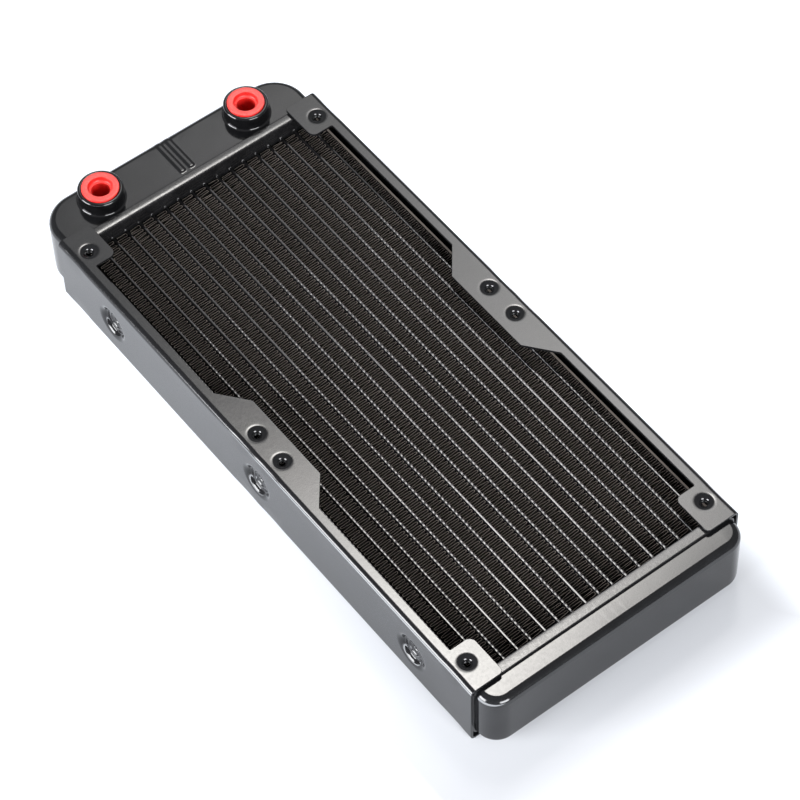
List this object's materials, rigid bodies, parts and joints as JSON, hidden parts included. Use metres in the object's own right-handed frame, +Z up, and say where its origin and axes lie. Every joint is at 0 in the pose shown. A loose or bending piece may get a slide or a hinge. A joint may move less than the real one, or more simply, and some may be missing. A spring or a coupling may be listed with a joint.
{
  "type": "liquid cooling radiator",
  "caption": "Flat black liquid cooling radiator: tube-and-fin core between two tanks in folded side panels with fan holes, and threaded ports closed by red push-in plugs.",
  "frame": {"origin": "under the middle of the whole radiator, on the plane of the lower flanges", "axes": "+X from the port tank to the return tank, +Z up through the core towards the ports' mouths, +Y to the left panel"},
  "size_m": [0.274, 0.1184, 0.0356],
  "materials": {
    "panel_paint": "black semi-gloss paint with a faint orange peel over folded sheet",
    "tank_paint": "the same black paint, on the tanks and the header plates",
    "core_metal": "thin black paint over aluminium, a little lighter on its narrow edges",
    "fin_metal": "thin matt black paint over aluminium foil",
    "collar_gloss": "glossy black over turned metal",
    "plug_plastic": "smooth red moulded plastic"
  },
  "bodies": {
    "radiator": {"side_panel_left": "panel_paint", "side_panel_right": "panel_paint", "return_header": "tank_paint", "port_header": "tank_paint", "return_tank": "tank_paint", "port_tank": "tank_paint", "flow_baffle": "core_metal", "tube_01": "core_metal", "tube_02": "core_metal", "tube_03": "core_metal", "tube_04": "core_metal", "tube_05": "core_metal", "tube_06": "core_metal", "tube_07": "core_metal", "tube_08": "core_metal", "tube_09": "core_metal", "tube_10": "core_metal", "tube_11": "core_metal", "tube_12": "core_metal", "tube_13": "core_metal", "tube_14": "core_metal", "tube_15": "core_metal", "tube_16": "core_metal", "tube_17": "core_metal", "tube_18": "core_metal", "fin_strip_01": "fin_metal", "fin_strip_02": "fin_metal", "fin_strip_03": "fin_metal", "fin_strip_04": "fin_metal", "fin_strip_05": "fin_metal", "fin_strip_06": "fin_metal", "fin_strip_07": "fin_metal", "fin_strip_08": "fin_metal", "fin_strip_09": "fin_metal", "fin_strip_10": "fin_metal", "fin_strip_11": "fin_metal", "fin_strip_12": "fin_metal", "fin_strip_13": "fin_metal", "fin_strip_14": "fin_metal", "fin_strip_15": "fin_metal", "fin_strip_16": "fin_metal", "fin_strip_17": "fin_metal", "fin_strip_18": "fin_metal", "fin_strip_19": "fin_metal", "core_side_plate_left": "core_metal", "core_side_plate_right": "core_metal", "port_collar_left": "collar_gloss", "port_collar_right": "collar_gloss"},
    "plug_left": {"port_plug_left": "plug_plastic"},
    "plug_right": {"port_plug_right": "plug_plastic"}
  },
  "joints": [
    {"name": "plug_left_pull", "type": "slide", "parent": "radiator", "child": "plug_left", "axis": [0, 0, 1], "range_m": [0, 0.018]},
    {"name": "plug_right_pull", "type": "slide", "parent": "radiator", "child": "plug_right", "axis": [0, 0, 1], "range_m": [0, 0.018]}
  ]
}
